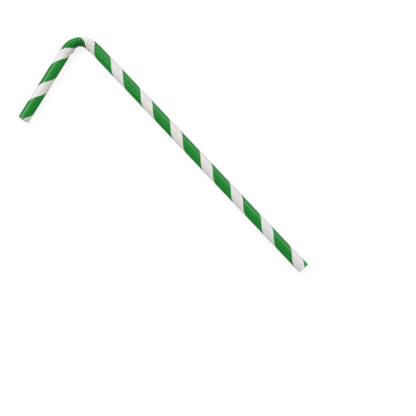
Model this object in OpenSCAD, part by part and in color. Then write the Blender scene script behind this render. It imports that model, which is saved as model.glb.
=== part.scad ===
// Paper drinking straw with a corrugated section, bent to drink from and lying on its side.
// It is one tube, wound from paper strips and glued, so it is one solid. Lengths are in millimetres.
// The long leg runs along +X, the short leg folds back towards -Y, and the underside is at Z = 0.

/* [Tube] */
// Outside diameter of the plain tube
outer_d = 6; // [5:0.1:8]
// Thickness of the wound paper wall
wall = 0.4; // [0.3:0.05:0.5]
// Plain length of the long leg, from the last ridge to its open end
long_leg = 156.5; // [60:0.5:220]
// Plain length of the short leg, from the last ridge to its open end
short_leg = 39.3; // [15:0.1:80]

/* [Corrugation] */
// Number of ridges pressed into the tube
ridges = 16; // [14:1:24]
// Length along the straw of a ridge at rest, where the straw is straight
rest_pitch = 1.3; // [1.2:0.02:1.5]
// Length of paper in one ridge, which sets how deep its groove can be
ridge_paper = 1.79; // [1.6:0.01:2]
// Share of a sharp fold's depth that the rounded groove keeps
groove_share = 0.95; // [0.7:0.01:1]
// Least depth of a groove, where the bend pulls the paper nearly flat
least_groove = 0.18; // [0.05:0.01:0.25]
// Depth of the first and last groove, as a share of the others
end_groove = 0.8; // [0.3:0.05:1]
// How much smaller the crests are than the plain tube, on the radius
crimp_step = 0.02; // [0.01:0.01:0.05]

/* [Bend] */
// Angle that the straw is bent through
bend_angle = 106.7; // [0:0.1:120]
// Ridges that stay straight between the long leg and the bend
straight_ridges = 0.9; // [0:0.1:4]
// Ridges that share the bend
bend_ridges = 12.5; // [10:0.5:16]
// Distance from the centreline, inwards, to where a bent ridge keeps its resting length
hinge_arm = 0.33; // [0:0.01:1]
// How much more the middle of the bend turns than its ends, as a share
bend_ease = 0.3; // [0:0.05:0.5]
// Share of the radius that the middle of the bend loses on its outside
outer_squeeze = 0.24; // [0:0.01:0.3]
// Share of the radius that the middle of the bend loses on its inside
inner_squeeze = 0.09; // [0:0.01:0.25]
// How far the inside bulges near the start of the bend, where the pressed paper goes
start_bulge = 0.36; // [0:0.02:0.6]
// How far the inside bulges near the end of the bend
end_bulge = 0.7; // [0:0.02:1]

/* [Hidden] */

outer_r = outer_d / 2;
bore_r = outer_r - wall;
// Facets of the round tubes, and sides of each ring of the corrugation
tube_facets = 96;
ring_sides = 32;
// Rings that shape one ridge on the outside and on the inside
outer_rings = 4;
inner_rings = 2;
// A high power makes wide rounded crests and narrow grooves
groove_power = 2.4;
// How fast the grooves narrow to slits where the bend presses the ridges together
closing = 4;
// Each bulge's place and width in ridges, and how square its form is
start_form = [1.85, 1.6, 2];
end_form = [12.15, 1.3, 4];
// How far the corrugation's plain end reaches into the wall of a leg
seat = 0.3;
// A cut's overrun past the faces that it cuts through
overrun = 1;
degrees = 180 / PI;

// Place in the bend, from 0 at its start to 1 at its end, of the place t counted in ridges
function bend_place(t) = min(max((t - straight_ridges) / bend_ridges, 0), 1);
function in_bend(t) = t > straight_ridges && t < straight_ridges + bend_ridges;

// Angle turned so far, and angle turned for each ridge
function heading(t) =
    let (u = bend_place(t))
    bend_angle * (u - bend_ease * sin(360 * u) / (2 * PI));
function turn_rate(t) =
    in_bend(t) ? bend_angle / bend_ridges * (1 - bend_ease * cos(360 * bend_place(t))) : 0;

// Length of a ridge along the centreline
function pitch(t) = rest_pitch + hinge_arm * turn_rate(t) / degrees;

// Length of a ridge at the angle a round the tube, where 0 is the outside of the bend
function local_pitch(t, a) = pitch(t) + outer_r * cos(a) * turn_rate(t) / degrees;

// The paper that a ridge's own length doesn't take up goes down into the groove and back
function full_depth(t, a) =
    max(least_groove, groove_share * sqrt(max(0, pow(ridge_paper, 2) - pow(local_pitch(t, a), 2))) / 2);
function end_fade(t) = min(1, end_groove + (1 - end_groove) * (min(t, ridges - t) - 0.5));
function narrowing(t, a) = pow(max(1, rest_pitch / local_pitch(t, a)), closing);
function groove_cut(t, a, slits) =
    let (power = groove_power * (slits ? narrowing(t, a) : 1))
    full_depth(t, a) * end_fade(t) * pow(abs(sin(180 * t)), power);

// Reach of the tube from its centreline in the plane of the bend, on the side that the angle a is on
function hump(t) = (1 - cos(360 * bend_place(t))) / 2;
function bulge(t, high, form) = high * exp(-pow(abs(t - form[0]) / form[1], form[2]));
function bulges(t) =
    min(1, t, ridges - t) * (bulge(t, start_bulge, start_form) + bulge(t, end_bulge, end_form));
function half_width(t, a) =
    cos(a) > 0 ? outer_r * (1 - outer_squeeze * hump(t)) : outer_r * (1 - inner_squeeze * hump(t)) + bulges(t);

// The centreline, in short strides from the long leg (at the origin) to the short leg
strides = ridges * outer_rings;
function stride(k) =
    let (t = (k + 0.5) / outer_rings)
    pitch(t) / outer_rings * travel(t);
function travel(t) = [-cos(heading(t)), -sin(heading(t))];
function outwards(t) = [-sin(heading(t)), cos(heading(t))];
path = [for (k = 0, p = [0, 0]; k <= strides; p = p + stride(k), k = k + 1) p];
path_end = path[strides];

// One ring of points at the path's point k, inset from the tube's outside and moved along the path
function ring(k, inset, slits, along = 0) =
    let (t = k / outer_rings)
    let (p = path[k] + along * travel(t))
    [
        for (i = [0 : ring_sides - 1])
            let (a = 360 * i / ring_sides)
            let (drop = inset + groove_cut(t, a, slits))
            let (off = (half_width(t, a) - drop) * cos(a))
            [p.x + off * outwards(t).x, p.y + off * outwards(t).y, (outer_r - drop) * sin(a)]
    ];

// The rings of one surface, with a plain ring at each end that reaches into the leg there
function surface_rings(inset, rings, slits) =
    let (skip = outer_rings / rings)
    concat(
        [ring(0, inset, slits, -seat)],
        [for (k = [0 : skip : strides]) ring(k, inset, slits)],
        [ring(strides, inset, slits, seat)]
    );

outer_skin = surface_rings(crimp_step, outer_rings, true);
// The flats of the inner rings, not their corners, clear the bore. No slits here, so the wall stays thick
inner_skin = surface_rings(outer_r - (bore_r + crimp_step) / cos(180 / ring_sides), inner_rings, false);

function flatten_list(list) = [for (part = list) for (item = part) item];

// Two triangles for each side between each ring and the next
function wall_faces(rings, first, flip) =
    [
        for (j = [0 : rings - 2])
            for (i = [0 : ring_sides - 1])
                let (n = (i + 1) % ring_sides)
                let (a = first + j * ring_sides + i, b = first + j * ring_sides + n)
                let (c = a + ring_sides, d = b + ring_sides)
                for (face = flip ? [[a, b, d], [a, d, c]] : [[a, d, b], [a, c, d]])
                    face
    ];

// The flat ring of wall that closes one end, between the outer and the inner surface
function end_faces(outer_first, inner_first, flip) =
    [
        for (i = [0 : ring_sides - 1])
            let (n = (i + 1) % ring_sides)
            let (a = outer_first + i, b = outer_first + n, c = inner_first + i, d = inner_first + n)
            for (face = flip ? [[a, d, b], [a, c, d]] : [[a, b, d], [a, d, c]])
                face
    ];

module corrugation() {
    outer_count = len(outer_skin);
    inner_count = len(inner_skin);
    inner_start = outer_count * ring_sides;
    polyhedron(
        points = concat(flatten_list(outer_skin), flatten_list(inner_skin)),
        faces = concat(
            wall_faces(outer_count, 0, true),
            wall_faces(inner_count, inner_start, false),
            end_faces(0, inner_start, true),
            end_faces(
                (outer_count - 1) * ring_sides,
                inner_start + (inner_count - 1) * ring_sides,
                false
            )
        )
    );
}

// A plain leg along +X, open right through
module leg(length) {
    rotate([0, 90, 0])
        difference() {
            cylinder(h = length, r = outer_r, $fn = tube_facets);
            translate([0, 0, -overrun])
                cylinder(h = length + 2 * overrun, r = bore_r, $fn = tube_facets);
        }
}

// The corners of the short leg's open end, and the outermost points of the ridges
short_turn = heading(ridges);
short_mouth = path_end + short_leg * travel(ridges);
short_corners = [for (side = [-1, 1]) short_mouth + side * outer_r * outwards(ridges)];
edge_points = concat(flatten_list(outer_skin), short_corners, [[long_leg, -outer_r], [long_leg, outer_r]]);
low_x = min([for (p = edge_points) p.x]);
high_x = max([for (p = edge_points) p.x]);
low_y = min([for (p = edge_points) p.y]);
high_y = max([for (p = edge_points) p.y]);

module straw() {
    color("white")
        translate([-(low_x + high_x) / 2, -(low_y + high_y) / 2, outer_r])
            union() {
                leg(long_leg);
                corrugation();
                translate([path_end.x, path_end.y, 0])
                    rotate([0, 0, 180 + short_turn])
                        leg(short_leg);
            }
}

straw();
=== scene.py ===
"""Looks for a paper drinking straw with a corrugated elbow, lying bent on its side.

The straw is one wound tube of three glued plies. Its outer ply carries one broad green stripe. The mesh's
columns follow the winding, so the stripe's edges and the ply's butt seam run along them.
Lengths are in millimetres until the mesh is made, angles round the tube are in radians, and places in the
corrugation (t) are counted in ridges from the long leg on.
"""

import math
from dataclasses import dataclass

import bpy
import numpy as np
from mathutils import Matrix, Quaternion, Vector


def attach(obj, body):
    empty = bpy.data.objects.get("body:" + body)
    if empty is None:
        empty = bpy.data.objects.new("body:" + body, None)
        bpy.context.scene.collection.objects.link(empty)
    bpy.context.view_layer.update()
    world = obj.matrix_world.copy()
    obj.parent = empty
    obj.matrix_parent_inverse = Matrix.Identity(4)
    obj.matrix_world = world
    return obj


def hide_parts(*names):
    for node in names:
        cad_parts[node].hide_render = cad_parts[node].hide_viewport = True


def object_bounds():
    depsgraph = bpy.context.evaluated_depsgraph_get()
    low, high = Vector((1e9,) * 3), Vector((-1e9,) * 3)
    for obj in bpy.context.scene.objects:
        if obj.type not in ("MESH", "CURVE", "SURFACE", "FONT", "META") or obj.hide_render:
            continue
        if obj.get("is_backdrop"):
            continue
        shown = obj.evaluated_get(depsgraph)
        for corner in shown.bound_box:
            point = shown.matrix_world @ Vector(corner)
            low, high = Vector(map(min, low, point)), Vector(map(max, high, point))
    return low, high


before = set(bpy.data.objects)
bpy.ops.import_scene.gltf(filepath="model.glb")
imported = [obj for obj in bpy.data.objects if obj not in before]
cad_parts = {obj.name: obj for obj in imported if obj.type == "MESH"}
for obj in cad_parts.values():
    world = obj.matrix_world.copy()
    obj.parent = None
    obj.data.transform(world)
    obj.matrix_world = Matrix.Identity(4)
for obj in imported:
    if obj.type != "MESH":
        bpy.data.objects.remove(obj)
CAD_LOW, CAD_HIGH = (list(corner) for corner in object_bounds())

MM = 0.001

# The tube, as the solid has it
OUTER_R = 3.0
WALL = 0.4
BORE_R = OUTER_R - WALL
LONG_LEG = 156.5
SHORT_LEG = 39.3
RIDGES = 16
REST_PITCH = 1.3
RIDGE_PAPER = 1.79
GROOVE_SHARE = 0.95
LEAST_GROOVE = 0.18
END_GROOVE = 0.8
CRIMP_STEP = 0.02
GROOVE_POWER = 2.4
CLOSING = 4.0
BEND_ANGLE = np.radians(106.7)
STRAIGHT_RIDGES = 0.9
BEND_RIDGES = 12.5
HINGE_ARM = 0.33
BEND_EASE = 0.3
OUTER_SQUEEZE = 0.24
INNER_SQUEEZE = 0.09
# Each bulge on the bend's inner side: its height, its place and width in ridges, and how square its form is
BULGES = ((0.36, 1.85, 1.6, 2), (0.7, 12.15, 1.3, 4))

# The winding: places are lengths of paper from the long leg's mouth, and shares are of one turn
WINDING_PITCH = 22.49
STRIPE_START = 134.99
WHITE_SHARE = 0.403
SEAM = WHITE_SHARE / 2
LINING_SEAM = SEAM + 0.5
FLEX_PAPER = 28.69

# How far the bend drags the paper round the tube on its outer side, the angle where it does so most, and the
# length of leg over which that fades out
SLIP = np.radians(20)
SLIP_FROM = np.radians(10)
SLIP_FADE = 5.0

# Towards the end of the bend the ridges stand askew: on its outer side they are this share of a ridge further
# on, between the second and the third of these places
SKEW = 0.45
SKEW_PLACES = (7.0, 11.0, 14.0, float(RIDGES))

# Spread between the ridges, as shares of a groove's depth and of a ridge's length
DEPTH_SPREAD = 0.05
LEAN_SPREAD = 0.02
# How much a groove's depth wavers round the tube, as a share, and how deep the crinkles inside the bend are
DEPTH_WAVER = 0.06
CRINKLE_DEPTH = 0.012
# Random waves: how many are added up, and the fewest and the most times that one of them goes round the tube
WAVER_WAVES = (4, 1, 5)
CRINKLE_WAVES = (5, 9, 17)
RAGGED_WAVES = (7, 5, 31)
WANDER_WAVES = (3, 1, 3)
RIDGE_SEED, START_SEED, END_SEED = 7, 11, 12
# How far into the corrugation, in ridges, its paper starts to look like a ridge's
RIDGE_START = 0.02

# Depth of the seams, and half width in turns of those that aren't a column of the mesh
SEAM_DEPTH = 0.045
LOWER_SEAM_DEPTH, LOWER_SEAM_WIDTH = 0.007, 0.013
LINING_SEAM_DEPTH, LINING_SEAM_WIDTH = 0.012, 0.009
# How far the outer ply's surface wavers, and how fast along the paper
SKIN_WAVER = 0.003
SKIN_WAVER_RATE = 0.41

# How finely the mesh follows the form
LEG_STEP = 0.75
INNER_LEG_STEP = 0.9
RINGS_PER_RIDGE = 16
INNER_RINGS_PER_RIDGE = 6
WHITE_COLUMNS = 42
STRIPE_COLUMNS = 52
SEAM_HALF_WIDTH = 0.004

# How far from the mouths the two skins stop, where the cut edge's rounded lips begin
OUTER_LIP = 0.06
INNER_LIP = 0.12

# The cut edge, as the knife left it: its rims stand in from the skins and lie back, and so does each ply from
# the one outside it. Glue lines part the plies, whose corners are rounded and whose middles are a little hollow
RIM_INSET = 0.004
INNER_RIM_BACK = 0.05
PLY_BACK = 0.012
PLY_CORNER = 0.015
PLY_HOLLOW = 0.003
GLUE_WIDTH = 0.012
GLUE_DEPTH = 0.05
# How ragged each ply's edge is, how far the whole cut wanders, and how uneven both are
RAGGEDNESS = 0.014
CUT_WANDER = 0.010
CUT_UNEVENNESS = 0.5

PLIES = 3
PRINTED, LINING, CUT = range(3)


def bend_place(t):
    """Place in the bend, from 0 at its start to 1 at its end."""
    return np.clip((t - STRAIGHT_RIDGES) / BEND_RIDGES, 0, 1)


def heading(t):
    u = bend_place(t)
    return BEND_ANGLE * (u - BEND_EASE * np.sin(2 * np.pi * u) / (2 * np.pi))


def turn_rate(t):
    """Angle turned for each ridge."""
    inside = (t > STRAIGHT_RIDGES) & (t < STRAIGHT_RIDGES + BEND_RIDGES)
    rate = BEND_ANGLE / BEND_RIDGES * (1 - BEND_EASE * np.cos(2 * np.pi * bend_place(t)))
    return np.where(inside, rate, 0)


def pitch(t):
    """Length of a ridge along the centreline."""
    return REST_PITCH + HINGE_ARM * turn_rate(t)


def local_pitch(t, a):
    """Length of a ridge at the angle a round the tube, where 0 is the outside of the bend."""
    return pitch(t) + OUTER_R * np.cos(a) * turn_rate(t)


def travel(t):
    h = heading(t)
    return np.stack([-np.cos(h), -np.sin(h)], -1)


def outwards(t):
    h = heading(t)
    return np.stack([-np.sin(h), np.cos(h)], -1)


def half_width(t, a):
    """The tube's reach from its centreline in the plane of the bend, on the side that the angle a is on."""
    hump = (1 - np.cos(2 * np.pi * bend_place(t))) / 2
    bulge = sum(high * np.exp(-np.abs((t - place) / wide) ** square) for high, place, wide, square in BULGES)
    return np.where(
        np.cos(a) > 0,
        OUTER_R * (1 - OUTER_SQUEEZE * hump),
        OUTER_R * (1 - INNER_SQUEEZE * hump) + bulge * np.minimum(1, np.minimum(t, RIDGES - t)),
    )


def full_depth(t, a):
    """The paper that a ridge's own length doesn't take up goes down into the groove and back."""
    slack = np.sqrt(np.maximum(0, RIDGE_PAPER**2 - local_pitch(t, a) ** 2))
    return np.maximum(LEAST_GROOVE, GROOVE_SHARE * slack / 2)


def end_fade(t):
    """How much of its depth a groove has, which is less at both ends of the corrugation."""
    return np.minimum(1, END_GROOVE + (1 - END_GROOVE) * (np.minimum(t, RIDGES - t) - 0.5))


def pressed(t, a):
    """How hard the bend presses the paper together here, from 0 to 1 in the middle of its inside."""
    return np.clip(-np.cos(a), 0, 1) * np.sin(np.pi * bend_place(t)) ** 2


def ridge_place(t, a):
    """The place t as the ridges have it, which stand askew towards the end of the bend."""
    skew = np.interp(t, SKEW_PLACES, (0, SKEW, SKEW, 0))
    return t - skew * (1 + np.cos(a)) / 2


def waves(rng, count, low, high):
    """A smooth random function round the tube, of about unit size, from a few whole waves."""
    orders = rng.integers(low, high + 1, count)
    phases = rng.uniform(0, 2 * np.pi, count)
    return lambda a: sum(np.sin(n * a + p) for n, p in zip(orders, phases)) / math.sqrt(count / 2)


# The ridges were pressed and bent as paper gives way, so no two are quite alike
rng = np.random.default_rng(RIDGE_SEED)
RIDGE_DEPTH = 1 + DEPTH_SPREAD * rng.standard_normal(RIDGES + 1)
RIDGE_LEAN = LEAN_SPREAD * rng.standard_normal(RIDGES + 1)
RIDGE_WAVERS = [waves(rng, *WAVER_WAVES) for _ in range(RIDGES + 1)]
CRINKLES = [waves(rng, *CRINKLE_WAVES) for _ in range(RIDGES + 1)]


def groove_cut(t, a, closing):
    """Depth of the corrugation, with each ridge's own unevenness.

    Where the bend presses the ridges together, their grooves close up to slits. The higher closing is, the more
    they do.
    """
    place = ridge_place(t, a)
    k = np.clip(np.floor(place).astype(int), 0, RIDGES)
    waver = np.zeros_like(a)
    crinkle = np.zeros_like(a)
    for i in range(RIDGES + 1):
        here = k == i
        if here.any():
            waver[here] = RIDGE_WAVERS[i](a[here])
            crinkle[here] = CRINKLES[i](a[here])
    power = GROOVE_POWER * np.maximum(1, REST_PITCH / local_pitch(t, a)) ** closing
    folded = np.abs(np.sin(np.pi * (place + RIDGE_LEAN[k] * np.sin(2 * np.pi * place)))) ** power
    depth = full_depth(t, a) * end_fade(t) * RIDGE_DEPTH[k] * (1 + DEPTH_WAVER * waver)
    return depth * folded + CRINKLE_DEPTH * pressed(t, a) * folded * crinkle


def flex_path(rings_per_ridge):
    """Centreline points of the corrugation for evenly spaced places, from the long leg's end at the origin."""
    t = (np.arange(rings_per_ridge * RIDGES) + 0.5) / rings_per_ridge
    strides = (pitch(t) / rings_per_ridge)[:, None] * travel(t)
    return np.concatenate([[[0.0, 0.0]], np.cumsum(strides, 0)])


def stations(leg_step, rings_per_ridge):
    """Rings from one mouth to the other.

    Each has its centre, its place in ridges, its length of paper, and whether it is in the corrugation.
    """
    long_count = round(LONG_LEG / leg_step)
    short_count = round(SHORT_LEG / leg_step)
    path = flex_path(rings_per_ridge)
    t_flex = np.arange(len(path)) / rings_per_ridge
    x = np.linspace(LONG_LEG, 0, long_count, endpoint=False)
    reach = np.linspace(0, SHORT_LEG, short_count + 1)[1:]
    centres = np.concatenate([
        np.stack([x, np.zeros_like(x)], -1),
        path,
        path[-1] + reach[:, None] * travel(float(RIDGES)),
    ])
    t = np.concatenate([np.zeros(long_count), t_flex, np.full(short_count, float(RIDGES))])
    paper = np.concatenate([
        LONG_LEG - x,
        LONG_LEG + t_flex * FLEX_PAPER / RIDGES,
        LONG_LEG + FLEX_PAPER + reach,
    ])
    in_flex = np.zeros(len(t), bool)
    in_flex[long_count:long_count + len(path)] = True
    return centres, t, paper, in_flex


def column_shares():
    """Each column's place round the winding, from the seam on: through white, the stripe and white again."""
    half = WHITE_COLUMNS // 2
    after = np.linspace(SEAM + SEAM_HALF_WIDTH, WHITE_SHARE, half)
    stripe = np.linspace(WHITE_SHARE, 1, STRIPE_COLUMNS + 1)[1:]
    before = np.linspace(1, 1 + SEAM - SEAM_HALF_WIDTH, half)[1:]
    return np.concatenate([[SEAM], after, stripe, before])


SHARES = column_shares()
COLUMNS = len(SHARES)
# Where each column starts, and where the last one ends
SPANS = np.concatenate([SHARES, [SHARES[0] + 1]])


def angles(paper):
    """Each column's angle at each length of paper. 0 is the outside of the bend, and a quarter turn the top."""
    turns = SHARES[None, :] + 0.25 - ((paper - STRIPE_START) / WINDING_PITCH)[:, None]
    return 2 * np.pi * turns


def slip(paper, a):
    """Angle that the paper has been dragged round by, at each length of paper and angle round the tube."""
    past = paper - LONG_LEG
    fade = np.clip(np.minimum(past + SLIP_FADE, FLEX_PAPER + SLIP_FADE - past) / SLIP_FADE, 0, 1)
    fade = fade**2 * (3 - 2 * fade)
    return SLIP * fade[:, None] * ((1 + np.cos(a - SLIP_FROM)) / 2) ** 2


def dent(share_off, width):
    """A rounded hollow of depth 1, at this distance from its middle."""
    return np.exp(-((share_off / width) ** 2))


def outer_inset():
    """The butt seam is a narrow groove, and the seams of the plies below show through as faint hollows."""
    lower = sum(dent(SHARES - SEAM - k / PLIES, LOWER_SEAM_WIDTH) for k in range(1, PLIES))
    return SEAM_DEPTH * (SHARES == SEAM) + LOWER_SEAM_DEPTH * lower


def inner_inset():
    """The wall's thickness, which is a little less at the lining's seam."""
    return WALL - LINING_SEAM_DEPTH * dent(SHARES - LINING_SEAM, LINING_SEAM_WIDTH)


@dataclass
class Skin:
    """One surface of the wall: its points in rings by columns, and the length of paper up to each ring.

    For the materials, each point has its depth in a fold, whether it is on a ridge, and how hard it is pressed.
    """

    points: np.ndarray
    paper: np.ndarray
    fold: np.ndarray
    ridge: np.ndarray
    pressed: np.ndarray


def make_skin(leg_step, rings_per_ridge, inset, waver, crimp, closing):
    """Inset is each column's depth below the tube's surface, and crimp is how much deeper the ridges start."""
    centres, t, paper, in_flex = stations(leg_step, rings_per_ridge)
    a = angles(paper)
    a = a - slip(paper, a)
    t = np.repeat(t[:, None], COLUMNS, 1)
    in_flex = in_flex[:, None]
    fold = np.where(in_flex, groove_cut(t, a, closing), 0)
    wavering = waver * (1 + np.sin(SKIN_WAVER_RATE * paper[:, None] + 4 * np.pi * SHARES))
    drop = inset + wavering + fold + crimp * in_flex
    off = (half_width(t, a) - drop) * np.cos(a)
    up = (OUTER_R - drop) * np.sin(a)
    xy = centres[:, None, :] + off[:, :, None] * outwards(t)
    ridge = (t > RIDGE_START) & (t < RIDGES - RIDGE_START)
    return Skin(np.concatenate([xy, up[:, :, None]], -1), paper, fold, ridge, pressed(t, a))


def edge_profile():
    """The cut edge's profile from the outer skin inwards: radius, place along the leg, number of the ply."""
    ply = WALL / PLIES
    profile = [(OUTER_R - RIM_INSET, -PLY_BACK, 0)]
    for k in range(PLIES):
        top = OUTER_R - k * ply
        level = -PLY_BACK * k
        profile.append((top - PLY_CORNER, level, k))
        profile.append((top - ply / 2, level - PLY_HOLLOW, k))
        profile.append((top - ply + PLY_CORNER, level, k))
        if k < PLIES - 1:
            profile.append((top - ply + GLUE_WIDTH / 2, level - GLUE_DEPTH, k))
            profile.append((top - ply - GLUE_WIDTH / 2, level - GLUE_DEPTH, k + 1))
    profile.append((BORE_R + RIM_INSET, -INNER_RIM_BACK, PLIES - 1))
    return profile


def edge_rings(paper_at, centre, direction, side, seed):
    """The rings of the cut edge of a mouth, from the outer skin inwards."""
    a = angles(np.array([paper_at]))[0]
    local = np.random.default_rng(seed)
    ragged = [waves(local, *RAGGED_WAVES) for _ in range(PLIES)]
    wander = waves(local, *WANDER_WAVES)(a)
    rings = []
    for r, place, k in edge_profile():
        rough = RAGGEDNESS * (1 + CUT_UNEVENNESS * ragged[k](a)) + CUT_WANDER * (1 + CUT_UNEVENNESS * wander)
        along = np.minimum(place - rough, 0)
        xy = centre + (r * np.cos(a))[:, None] * side + along[:, None] * direction
        rings.append(np.concatenate([xy, (r * np.sin(a))[:, None]], -1))
    return np.array(rings)


def make_wall():
    """The outer and the inner skin, and the cut edges of the long leg's and the short leg's mouth."""
    outer = make_skin(
        LEG_STEP, RINGS_PER_RIDGE, outer_inset(), waver=SKIN_WAVER, crimp=CRIMP_STEP, closing=CLOSING,
    )
    inner = make_skin(INNER_LEG_STEP, INNER_RINGS_PER_RIDGE, inner_inset(), waver=0.0, crimp=0.0, closing=0.0)
    start, end = 0.0, float(RIDGES)
    start_way, end_way = np.array([1.0, 0.0]), travel(end)
    start_centre = np.array([LONG_LEG, 0.0])
    end_centre = flex_path(RINGS_PER_RIDGE)[-1] + SHORT_LEG * end_way
    start_edge = edge_rings(outer.paper[0], start_centre, start_way, outwards(start), START_SEED)
    end_edge = edge_rings(outer.paper[-1], end_centre, end_way, outwards(end), END_SEED)
    for skin, lip in ((outer, OUTER_LIP), (inner, INNER_LIP)):
        skin.points[0, :, :2] -= lip * start_way
        skin.points[-1, :, :2] -= lip * end_way
    return outer, inner, start_edge, end_edge


# The bake's map, in millimetres of a square: the skins in rows of strips, then the cut edges
SHEET = 79.0
STRIPS = 3
MARGIN = 0.5
OUTER_HIGH = 2 * math.pi * OUTER_R
INNER_HIGH = 4.9
EDGE_HIGH = 1.1

# A face's corners the other way round, from the same first corner
TURNED = [0, 3, 2, 1]


def strip_corners(at_a, at_b, across):
    """Places of the corners of the faces between ring a and ring b: along the strip, and across it."""
    places = ((at_a, across[:-1]), (at_a, across[1:]), (at_b, across[1:]), (at_b, across[:-1]))
    return np.stack([np.stack([np.full(COLUMNS, float(x)), y], -1) for x, y in places], 1)


class Faces:
    """The faces between rings of points, where they lie on the roll and on the bake's map, and their materials.

    A ring is given by the number of its first point.
    """

    def __init__(self):
        self.corners, self.roll, self.bake, self.kinds = [], [], [], []
        self.y = MARGIN

    def join(self, ring_a, ring_b, kind, turn, roll, bake):
        """The faces between two rings. Those that would look into the wall are turned."""
        i = np.arange(COLUMNS)
        n = (i + 1) % COLUMNS
        strip = np.stack([ring_a + i, ring_a + n, ring_b + n, ring_b + i], -1), roll, bake / SHEET
        for kept, corners in zip((self.corners, self.roll, self.bake), strip):
            kept.append(corners[:, TURNED] if turn else corners)
        self.kinds.append(np.full(COLUMNS, kind))

    def add_skin(self, first, paper, kind, high, turn):
        """A skin, whose paper is cut into strips that lie one above the other on the bake's map."""
        breaks = np.searchsorted(paper, np.linspace(0, paper[-1], STRIPS + 1)[1:-1])
        starts = np.concatenate([[0], breaks])
        strips = np.searchsorted(breaks, np.arange(len(paper) - 1), side="right")
        for k, strip in enumerate(strips):
            ring = first + k * COLUMNS
            x = paper[k:k + 2] - paper[starts[strip]] + MARGIN
            y = self.y + strip * (high + MARGIN) + (SPANS - SEAM) * high
            roll = strip_corners(paper[k], paper[k + 1], SPANS)
            self.join(ring, ring + COLUMNS, kind, turn, roll, strip_corners(x[0], x[1], y))
        self.y += STRIPS * (high + MARGIN)

    def add_edge(self, rings, turn):
        """A cut edge, which lies across the bake's map. On the roll, its rings are simply counted."""
        round_it = SPANS - SEAM
        x = MARGIN + round_it * (SHEET - 2 * MARGIN)
        y = self.y + EDGE_HIGH * np.arange(len(rings)) / (len(rings) - 1)
        for k in range(len(rings) - 1):
            bake = strip_corners(y[k], y[k + 1], x)[..., ::-1]
            self.join(rings[k], rings[k + 1], CUT, turn, strip_corners(k, k + 1, round_it), bake)
        self.y += EDGE_HIGH + MARGIN


def make_straw():
    outer, inner, start_edge, end_edge = make_wall()
    blocks = (outer.points, inner.points, start_edge, end_edge)
    firsts = np.cumsum([0] + [len(block) * COLUMNS for block in blocks])
    # The solid's long leg ends at the box's high corner, and its underside is the box's
    leg_end = np.array([CAD_HIGH[0] / MM - LONG_LEG, CAD_HIGH[1] / MM - OUTER_R, CAD_LOW[2] / MM + OUTER_R])
    points = (np.concatenate([block.reshape(-1, 3) for block in blocks]) + leg_end) * MM

    faces = Faces()
    faces.add_skin(firsts[0], outer.paper, PRINTED, OUTER_HIGH, turn=True)
    faces.add_skin(firsts[1], inner.paper, LINING, INNER_HIGH, turn=False)
    # Each cut edge joins the outer skin's first or last ring, its own rings and the inner skin's
    start_rings = [firsts[0], *range(firsts[2], firsts[3], COLUMNS), firsts[1]]
    end_rings = [firsts[1] - COLUMNS, *range(firsts[3], firsts[4], COLUMNS), firsts[2] - COLUMNS]
    faces.add_edge(start_rings, turn=False)
    faces.add_edge(end_rings, turn=True)

    mesh = bpy.data.meshes.new("striped_tube")
    mesh.from_pydata(points.tolist(), [], np.concatenate(faces.corners).tolist())
    kinds = np.concatenate(faces.kinds)
    mesh.polygons.foreach_set("material_index", kinds.astype(np.int32))
    mesh.polygons.foreach_set("use_smooth", kinds != CUT)
    for name, places in (("PaperRoll", faces.roll), ("OFBake", faces.bake)):
        layer = mesh.uv_layers.new(name=name)
        layer.data.foreach_set("uv", np.concatenate(places).reshape(-1).astype(np.float32))
    edges = np.zeros(firsts[4] - firsts[2])
    plies = np.repeat([float(k) for _, _, k in edge_profile()], COLUMNS)
    for name, parts in (
        ("fold", (outer.fold, inner.fold, edges)),
        ("ridge", (outer.ridge, inner.ridge, edges)),
        ("pressed", (outer.pressed, inner.pressed, edges)),
        ("ply", (np.zeros(outer.fold.size), np.full(inner.fold.size, PLIES - 1.0), plies, plies)),
    ):
        layer = mesh.attributes.new(name, "FLOAT", "POINT")
        values = np.concatenate([part.reshape(-1) for part in parts])
        layer.data.foreach_set("value", values.astype(np.float32))
    mesh.uv_layers["PaperRoll"].active_render = True
    mesh.validate()
    mesh.update()
    straw = bpy.data.objects.new("striped_tube", mesh)
    bpy.context.scene.collection.objects.link(straw)
    return straw


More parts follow.
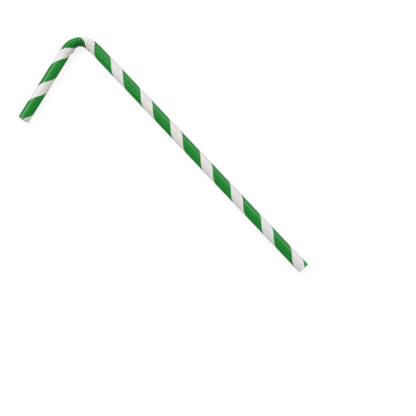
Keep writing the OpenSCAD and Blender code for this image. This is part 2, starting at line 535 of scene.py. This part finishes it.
class Nodes:
    """A short way to write nodes: each call makes a node, sets its inputs and returns one of its outputs."""

    def __init__(self, tree):
        self.tree = tree
        tree.nodes.clear()

    def add(self, kind, out=0, props=None, **inputs):
        """Inputs are given by name, with _ for a space, or by number after an _."""
        node = self.tree.nodes.new(kind)
        for name, value in (props or {}).items():
            setattr(node, name, value)
        for name, value in inputs.items():
            key = int(name[1:]) if name[0] == "_" and name[1:].isdigit() else name.replace("_", " ")
            self.feed(node.inputs[key], value)
        return node.outputs[out]

    def feed(self, socket, value):
        if isinstance(value, bpy.types.NodeSocket):
            self.tree.links.new(value, socket)
        elif socket.type == "RGBA":
            socket.default_value = (*value, 1.0)
        else:
            socket.default_value = value

    def end(self, kind, surface):
        out = self.tree.nodes.new(kind)
        self.tree.links.new(surface, out.inputs["Surface"])

    def maths(self, operation, a, b=0.0):
        return self.add("ShaderNodeMath", props={"operation": operation}, _0=a, _1=b)

    def plus(self, a, b):
        return self.maths("ADD", a, b)

    def minus(self, a, b):
        return self.maths("SUBTRACT", a, b)

    def times(self, a, b):
        return self.maths("MULTIPLY", a, b)

    def ramp(self, value, low, high, to_low=0.0, to_high=1.0):
        return self.add("ShaderNodeMapRange", _0=value, _1=low, _2=high, _3=to_low, _4=to_high)

    def noise(self, vector, scale, detail=2.0, roughness=0.5):
        return self.add("ShaderNodeTexNoise", Vector=vector, Scale=scale, Detail=detail, Roughness=roughness)

    def mix(self, factor, a, b):
        return self.add("ShaderNodeMix", out=2, props={"data_type": "RGBA"}, _0=factor, _6=a, _7=b)

    def place(self):
        """Place on the object, in metres."""
        return self.add("ShaderNodeTexCoord", out=3)

    def roll(self):
        """Place on the paper: millimetres along the straw, and turns across."""
        return self.add("ShaderNodeUVMap", props={"uv_map": "PaperRoll"})

    def across(self):
        return self.add("ShaderNodeSeparateXYZ", out=1, Vector=self.roll())

    def value_at(self, name):
        """A value that the mesh holds for each of its points."""
        return self.add("ShaderNodeAttribute", out=2, props={"attribute_name": name})

    def along_the_strip(self, scale, detail, roughness):
        """Noise drawn out along the strip, with a scale for along and one for across."""
        props = {"operation": "MULTIPLY"}
        stretched = self.add("ShaderNodeVectorMath", props=props, _0=self.roll(), _1=(*scale, 1.0))
        return self.noise(stretched, 1.0, detail=detail, roughness=roughness)

    def fibres(self):
        """Fine paper fibres."""
        return self.along_the_strip(FIBRES, detail=3.0, roughness=0.6)


def material(name):
    mat = bpy.data.materials.new(name)
    mat.use_nodes = True
    return mat, Nodes(mat.node_tree)


def finish_paper(n, colour, roughness, height, distance, gloss=0.5):
    bump = n.add("ShaderNodeBump", Strength=1.0, Distance=distance, Height=height)
    surface = n.add(
        "ShaderNodeBsdfPrincipled",
        Base_Color=colour, Roughness=roughness, Specular_IOR_Level=gloss, Normal=bump,
    )
    n.end("ShaderNodeOutputMaterial", surface)


# Colours of the print, of the outer ply and of its seam
STRIPE_GREEN = (0.001, 0.238, 0.018)
STRIPE_PALE = (0.003, 0.280, 0.028)
# Green of the crests: rubbed pale ink, lightened further by a painted highlight
RUBBED_AND_HIGHLIT_GREEN = (0.020, 0.430, 0.075)
# Painted shade: darker green where the bend presses the paper together on its inside
PRESSED_SHADE_GREEN = (0.001, 0.130, 0.011)
# Painted shade: darker green in the grooves
SHADED_GROOVE_GREEN = (0.001, 0.085, 0.008)
PAPER_WHITE = (0.815, 0.800, 0.790)
PAPER_SHADE = (0.765, 0.745, 0.732)
# Painted light: lighter white over the corrugation's ridges
RIDGE_LIT_WHITE = (0.880, 0.862, 0.852)
# Painted light: lighter white where the bend presses the paper together on its inside
PRESSED_LIT_WHITE = (0.905, 0.875, 0.855)
# Painted shade: darker white in the grooves
SHADED_GROOVE_WHITE = (0.56, 0.51, 0.48)
PAPER_SEAM = (0.52, 0.49, 0.46)

# Colours of the lining and its seam, and of the cut edge and its glue
LINING_WHITE = (0.78, 0.76, 0.74)
LINING_SHADE = (0.70, 0.675, 0.645)
LINING_GLUE = (0.45, 0.42, 0.38)
CUT_PALE = (0.80, 0.745, 0.70)
CUT_SHADE = (0.64, 0.555, 0.50)
CUT_GLUE = (0.44, 0.34, 0.27)

# Scales of the noises along the strip, for each millimetre along and each turn across
FIBRES = (1.3, 75.0)
UNEVEN_PAPER = (0.5, 24.0)
# Scales of the other noises, for each metre
STRIPE_EDGE_GRAIN = 7000.0
STRIPE_EDGE_WANDER = 260.0
INK_GRAIN = 2600.0
BLOTCHES = 420.0
LINING_BLOTCHES = 500.0
CUT_GRAIN = 11000.0

# Levels of each noise between which its effect goes from none to full
GREEN_MOTTLE = (0.75, 1.25)
WHITE_MOTTLE = (0.70, 1.30)
CUT_MOTTLE = (0.3, 0.7)
THIN_INK = (0.62, 0.80)
SEAM_GAPS = (0.3, 0.6)
GRAIN = (0.2, 0.8)
PRINTED_GRAIN = (-0.5, 0.9)

# How far the stripe's edges stray either way, and over what width they soften, in turns
STRIPE_EDGE_STRAY = 0.006
STRIPE_EDGE_SOFT = 0.0012
# Depths in a fold: where the crests' rubbed pale ink and painted highlight end, and where the grooves' painted
# shade starts and is full
CREST_WEAR_AND_HIGHLIGHT_END = 0.13
GROOVE_SHADE_START, GROOVE_SHADE_FULL = 0.10, 0.42
# How strongly each shows: thin spots in the ink, the painted shade on a groove's green and on a groove's white,
# and the painted light on a ridge's white
INK_LOSS = 0.05
GROOVE_GREEN_SHADE = 0.6
GROOVE_SHADE = 0.08
RIDGE_WHITE_LIGHT = 0.55
# How wide the seams' lines of glue and shade reach, in turns, and how strong they are
SEAM_LINE, SEAM_STRENGTH = 0.0045, 0.35
LINING_LINE, LINING_STRENGTH = 0.005, 0.22
GLUE_STRENGTH = 0.7

# Roughness of each paper at both ends of its grain
PRINTED_ROUGHNESS = (0.22, 0.50)
LINING_ROUGHNESS = (0.55, 0.68)
CUT_ROUGHNESS = (0.6, 0.75)
# How glossy the print is, how much smoother its ink, and the parts that the noises have in its relief
PRINT_GLOSS = 0.70
INK_SMOOTHING = 0.6
UNEVEN_RELIEF = 11.0
BLOTCH_RELIEF = 0.8

# Heights of each paper's relief, in metres
PRINTED_RELIEF = 0.000006
LINING_RELIEF = 0.000010
CUT_RELIEF = 0.000012


def printed_paper():
    mat, n = material("printed_paper")
    place, across = n.place(), n.across()

    ragged = n.times(n.minus(n.noise(place, STRIPE_EDGE_GRAIN, detail=3.0), 0.5), STRIPE_EDGE_STRAY)
    wander = n.times(n.minus(n.noise(place, STRIPE_EDGE_WANDER), 0.5), STRIPE_EDGE_STRAY)
    share = n.plus(across, n.plus(ragged, wander))
    inside = n.maths("MINIMUM", n.minus(share, WHITE_SHARE), n.minus(1.0, share))
    stripe = n.ramp(inside, -STRIPE_EDGE_SOFT, STRIPE_EDGE_SOFT)

    fine = n.fibres()
    blotch = n.noise(place, BLOTCHES, detail=3.0, roughness=0.55)
    mottle = n.plus(fine, blotch)
    fold, ridge, press_shade_and_light = n.value_at("fold"), n.value_at("ridge"), n.value_at("pressed")
    # The crests of the folds are stretched and rubbed pale and carry a painted highlight, and the grooves carry
    # painted shade
    crest_wear_and_highlight = n.ramp(fold, 0.0, CREST_WEAR_AND_HIGHLIGHT_END, 1.0, 0.0)
    groove_shade_mask = n.ramp(fold, GROOVE_SHADE_START, GROOVE_SHADE_FULL)
    green = n.mix(n.ramp(mottle, *GREEN_MOTTLE), STRIPE_GREEN, STRIPE_PALE)
    green = n.mix(n.times(crest_wear_and_highlight, ridge), green, RUBBED_AND_HIGHLIT_GREEN)
    # Painted shade on the green inside the bend
    green = n.mix(press_shade_and_light, green, PRESSED_SHADE_GREEN)
    green = n.mix(n.times(groove_shade_mask, GROOVE_GREEN_SHADE), green, SHADED_GROOVE_GREEN)
    white = n.mix(n.ramp(mottle, *WHITE_MOTTLE), PAPER_SHADE, PAPER_WHITE)
    # Painted light on the white over the corrugation
    white = n.mix(n.times(ridge, RIDGE_WHITE_LIGHT), white, RIDGE_LIT_WHITE)
    # Painted light on the white inside the bend
    white = n.mix(press_shade_and_light, white, PRESSED_LIT_WHITE)
    white = n.mix(n.times(groove_shade_mask, GROOVE_SHADE), white, SHADED_GROOVE_WHITE)
    thin = n.ramp(n.noise(place, INK_GRAIN), *THIN_INK)
    ink = n.times(stripe, n.minus(1.0, n.times(thin, INK_LOSS)))
    colour = n.mix(ink, white, green)
    # The butt seam holds a thin line of glue and shade
    off = n.maths("MINIMUM", n.minus(across, SEAM), n.minus(1 + SEAM, across))
    seam = n.times(n.ramp(off, 0.0, SEAM_LINE, SEAM_STRENGTH, 0.0), n.ramp(blotch, *SEAM_GAPS))
    colour = n.mix(seam, colour, PAPER_SEAM)

    grain = n.minus(fine, n.times(stripe, INK_SMOOTHING))
    # Wound by machine and handled since, the paper is a little uneven, which breaks up its highlights
    uneven = n.times(n.along_the_strip(UNEVEN_PAPER, detail=2.0, roughness=0.55), UNEVEN_RELIEF)
    height = n.plus(n.plus(fine, uneven), n.times(blotch, BLOTCH_RELIEF))
    roughness = n.ramp(grain, *PRINTED_GRAIN, *PRINTED_ROUGHNESS)
    finish_paper(n, colour, roughness, height, PRINTED_RELIEF, gloss=PRINT_GLOSS)
    return mat


def lining_paper():
    mat, n = material("lining_paper")
    fine = n.fibres()
    blotch = n.noise(n.place(), LINING_BLOTCHES, detail=3.0)
    white = n.mix(n.ramp(n.plus(fine, blotch), *WHITE_MOTTLE), LINING_SHADE, LINING_WHITE)
    off = n.maths("ABSOLUTE", n.minus(n.across(), LINING_SEAM))
    colour = n.mix(n.ramp(off, 0.0, LINING_LINE, LINING_STRENGTH, 0.0), white, LINING_GLUE)
    finish_paper(n, colour, n.ramp(fine, *GRAIN, *LINING_ROUGHNESS), fine, LINING_RELIEF)
    return mat


def cut_paper():
    mat, n = material("cut_paper")
    grain = n.noise(n.place(), CUT_GRAIN, detail=3.0, roughness=0.6)
    pale = n.mix(n.ramp(grain, *CUT_MOTTLE), CUT_SHADE, CUT_PALE)
    # Halfway between two plies' whole numbers lies the glue
    between = n.maths("ABSOLUTE", n.minus(n.maths("FRACT", n.value_at("ply")), 0.5))
    colour = n.mix(n.ramp(between, 0.0, 0.5, GLUE_STRENGTH, 0.0), pale, CUT_GLUE)
    finish_paper(n, colour, n.ramp(grain, *GRAIN, *CUT_ROUGHNESS), grain, CUT_RELIEF)
    return mat


# The light. Seen is what the camera sees, bounced what lights the straw, and mirrored what its satin shows
WHITE = (1.0, 1.0, 1.0)
FLOOR_SEEN = (0.27, 0.27, 0.27)
FLOOR_BOUNCED = (0.76, 0.70, 0.67)
FLOOR_MIRRORED = (0.12, 0.12, 0.12)
FLOOR_REACH = 3.0
# Distances and levels of the floor's glow, which is stronger far from the lamps to stay white out to its edge
NEAR, FAR = 0.2, 0.9
NEAR_GLOW, FAR_GLOW = 0.79, 0.89
ROOM_TINT = (1.0, 0.98, 0.97)
ROOM_LEVEL = 0.56
ROOM_MIRRORED = 0.04
LAMP_TINT = (0.985, 1.0, 1.01)
LAMP_DISTANCE = 1.0
# Each lamp's direction as parts of the camera's right, up and back, its size, and its level
LAMPS = {
    "left": ((-0.85, 0.53, 0.80), 0.85, 0.48),
    "right": ((0.68, 0.73, 0.43), 1.4, 0.475),
}


def floor_material():
    """Pale floor that reads as white to the camera and still takes the straw's shadow."""
    mat, n = material("pale_floor")
    light = n.tree.nodes.new("ShaderNodeLightPath")
    camera_ray = light.outputs["Is Camera Ray"]
    colour = n.mix(light.outputs["Is Glossy Ray"], FLOOR_BOUNCED, FLOOR_MIRRORED)
    colour = n.mix(camera_ray, colour, FLOOR_SEEN)
    matt = n.add("ShaderNodeBsdfDiffuse", Color=colour)
    away = n.add("ShaderNodeVectorMath", out=1, props={"operation": "LENGTH"}, _0=n.place())
    lift = n.times(camera_ray, n.ramp(away, NEAR, FAR, NEAR_GLOW, FAR_GLOW))
    glow = n.add("ShaderNodeEmission", Color=WHITE, Strength=lift)
    n.end("ShaderNodeOutputMaterial", n.add("ShaderNodeAddShader", _0=matt, _1=glow))
    return mat


def make_floor():
    reach = FLOOR_REACH
    corners = [(-reach, -reach, 0), (reach, -reach, 0), (reach, reach, 0), (-reach, reach, 0)]
    mesh = bpy.data.meshes.new("floor")
    mesh.from_pydata(corners, [], [(0, 1, 2, 3)])
    floor = bpy.data.objects.new("floor", mesh)
    bpy.context.scene.collection.objects.link(floor)
    mesh.materials.append(floor_material())
    floor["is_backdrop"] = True


# The photograph's camera: what it aims at, how far off it is, and how it is turned, from a perspective fit
AIM = Vector((28.928, 10.745, 3.0)) * MM
DISTANCE = 611.59 * MM
AZIMUTH = 37.084
ELEVATION = 81.070
ROLL = 9.824
LENS = 103.846
SENSOR_WIDTH = 36.0


def make_camera():
    azimuth, elevation = math.radians(AZIMUTH), math.radians(ELEVATION)
    back = Vector((
        math.sin(azimuth) * math.cos(elevation),
        -math.cos(azimuth) * math.cos(elevation),
        math.sin(elevation),
    ))
    data = bpy.data.cameras.new("camera")
    data.lens = LENS
    data.sensor_width = SENSOR_WIDTH
    data.clip_start, data.clip_end = 0.01, 20.0
    camera = bpy.data.objects.new("camera", data)
    camera.rotation_mode = "QUATERNION"
    turn = (-back).to_track_quat("-Z", "Y") @ Quaternion((0, 0, 1), math.radians(ROLL))
    camera.location = AIM + back * DISTANCE
    camera.rotation_quaternion = turn
    bpy.context.scene.collection.objects.link(camera)
    bpy.context.scene.camera = camera
    right, up = turn @ Vector((1, 0, 0)), turn @ Vector((0, 1, 0))
    return right, up, back


def make_lamp(name, direction, size, level):
    """A soft lamp. Level is what a white matt surface that faces it shows, where 1 is white."""
    data = bpy.data.lights.new(name, "AREA")
    data.shape = "DISK"
    data.size = size
    data.energy = level * math.pi**2 * LAMP_DISTANCE**2
    data.color = LAMP_TINT
    lamp = bpy.data.objects.new(name, data)
    way = direction.normalized()
    lamp.location = AIM + way * LAMP_DISTANCE
    lamp.rotation_mode = "QUATERNION"
    lamp.rotation_quaternion = way.to_track_quat("Z", "Y")
    bpy.context.scene.collection.objects.link(lamp)


def make_world():
    """Even light from all round, plain white behind the object, and a dimmer room in the paper's satin."""
    world = bpy.data.worlds.new("studio")
    world.use_nodes = True
    n = Nodes(world.node_tree)
    path = n.tree.nodes.new("ShaderNodeLightPath")
    seen = n.maths("MAXIMUM", path.outputs["Is Camera Ray"], path.outputs["Is Transmission Ray"])
    lit = n.ramp(path.outputs["Is Glossy Ray"], 0.0, 1.0, ROOM_LEVEL, ROOM_MIRRORED)
    colour = n.mix(seen, ROOM_TINT, WHITE)
    glow = n.add("ShaderNodeBackground", Color=colour, Strength=n.maths("MAXIMUM", seen, lit))
    n.end("ShaderNodeOutputWorld", glow)
    # Light is found by the rays themselves, so that satin and matt light keep their own levels
    world.cycles.sampling_method = "NONE"
    bpy.context.scene.world = world


right, up, back = make_camera()
straw = make_straw()
for made in (printed_paper(), lining_paper(), cut_paper()):
    straw.data.materials.append(made)
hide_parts("straw")
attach(straw, "root")

make_floor()
make_world()
for name, (parts, size, level) in LAMPS.items():
    make_lamp(name, right * parts[0] + up * parts[1] + back * parts[2], size, level)
bpy.context.scene.view_settings.view_transform = "Standard"
